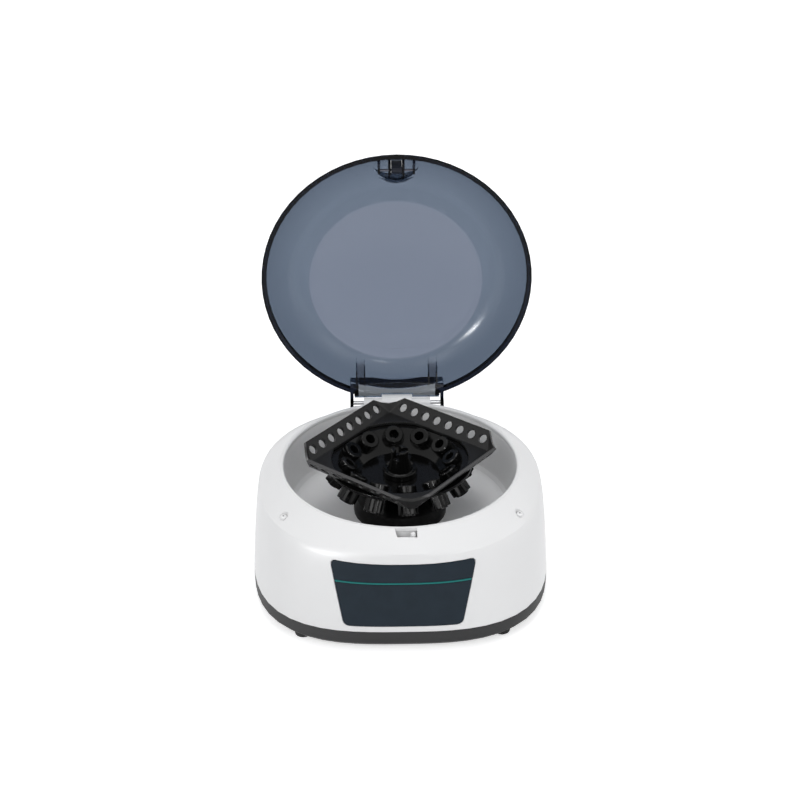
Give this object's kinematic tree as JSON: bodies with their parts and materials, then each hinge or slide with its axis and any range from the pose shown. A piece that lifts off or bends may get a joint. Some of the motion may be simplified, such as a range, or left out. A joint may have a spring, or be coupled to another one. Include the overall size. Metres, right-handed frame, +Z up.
{
  "type": "benchtop mini centrifuge",
  "caption": "Small round-topped laboratory centrifuge with a smoked hinged lid, a motor in its base and a lift-out rotor for micro tubes and tube strips.",
  "frame": {"origin": "centre of the base's flat underside, on the rotor's axis", "axes": "+Z up along the rotor's axis, front panel at -Y, lid hinge at +Y, +X to the user's right"},
  "size_m": [0.1846, 0.2149, 0.2449],
  "materials": {
    "white_plastic": "satin moulded",
    "bowl_plastic": "satin moulded",
    "dark_grey_plastic": "fine grain",
    "boss_plastic": "satin",
    "black_plastic": "satin",
    "rotor_plastic": "glossy moulded",
    "foot_rubber": "matt",
    "pad_rubber": "matt",
    "smoked_plastic": "clear smoked plastic",
    "latch_plastic": "glossy moulded",
    "panel_film": "satin film",
    "teal_print": "print",
    "steel": "turned",
    "zinc_steel": "zinc plated",
    "board_green": "solder mask"
  },
  "bodies": {
    "base": {"base_tray": "dark_grey_plastic", "foot_1": "foot_rubber", "foot_2": "foot_rubber", "foot_3": "foot_rubber", "foot_4": "foot_rubber", "foot_screw_1": "steel", "foot_screw_2": "steel", "foot_screw_3": "steel", "foot_screw_4": "steel", "housing_shell": "white_plastic", "bowl": "bowl_plastic", "motor_boss": "boss_plastic", "motor": "zinc_steel", "motor_plate": "steel", "damper_1": "foot_rubber", "damper_2": "foot_rubber", "damper_3": "foot_rubber", "front_panel": "panel_film", "panel_stripe": "teal_print", "hinge_bracket": "white_plastic", "hinge_pin_left": "steel", "hinge_pin_right": "steel", "rest_pad_left": "pad_rubber", "rest_pad_right": "pad_rubber", "lock_switch": "black_plastic", "control_board": "board_green", "power_inlet": "black_plastic", "rocker_bezel": "black_plastic"},
    "lid": {"lid": "smoked_plastic", "latch_pin": "steel"},
    "latch": {"latch_lever": "latch_plastic"},
    "spindle": {"spindle": "steel"},
    "rotor": {"tube_rotor": "rotor_plastic", "strip_frame": "rotor_plastic", "adapter_01": "rotor_plastic", "adapter_02": "rotor_plastic", "adapter_03": "rotor_plastic", "adapter_04": "rotor_plastic", "adapter_05": "rotor_plastic", "adapter_06": "rotor_plastic", "adapter_07": "rotor_plastic", "adapter_08": "rotor_plastic", "adapter_09": "rotor_plastic", "adapter_10": "rotor_plastic", "adapter_11": "rotor_plastic", "adapter_12": "rotor_plastic"},
    "knob": {"rotor_knob": "rotor_plastic"},
    "nub": {"lock_nub": "white_plastic"},
    "rocker": {"rocker": "black_plastic"}
  },
  "joints": [
    {"name": "lid_hinge", "type": "hinge", "parent": "base", "child": "lid", "pos_m": [0, 0.0882, 0.0657], "axis": [-1, 0, 0], "range_deg": [-90, 0]},
    {"name": "latch_pivot", "type": "hinge", "parent": "lid", "child": "latch", "pos_m": [0, 0.0993, 0.2265], "axis": [1, 0, 0], "range_deg": [0, 5], "stiffness_Nm_per_rad": 0.01, "springref_deg": -5.73},
    {"name": "rotor_spin", "type": "hinge", "parent": "base", "child": "spindle", "pos_m": [0, 0, 0.065], "axis": [0, 0, 1], "continuous": true},
    {"name": "rotor_lift", "type": "slide", "parent": "spindle", "child": "rotor", "axis": [0, 0, 1], "range_m": [0, 0.05]},
    {"name": "knob_turn", "type": "hinge", "parent": "rotor", "child": "knob", "pos_m": [0, 0, 0.065], "axis": [0, 0, 1], "continuous": true},
    {"name": "nub_press", "type": "slide", "parent": "base", "child": "nub", "axis": [0, 0, -1], "range_m": [0, 0.0015], "stiffness_N_per_m": 120, "springref_m": -0.002},
    {"name": "rocker_tilt", "type": "hinge", "parent": "base", "child": "rocker", "pos_m": [0.024, 0.0986, 0.026], "axis": [1, 0, 0], "range_deg": [-10, 0]}
  ]
}
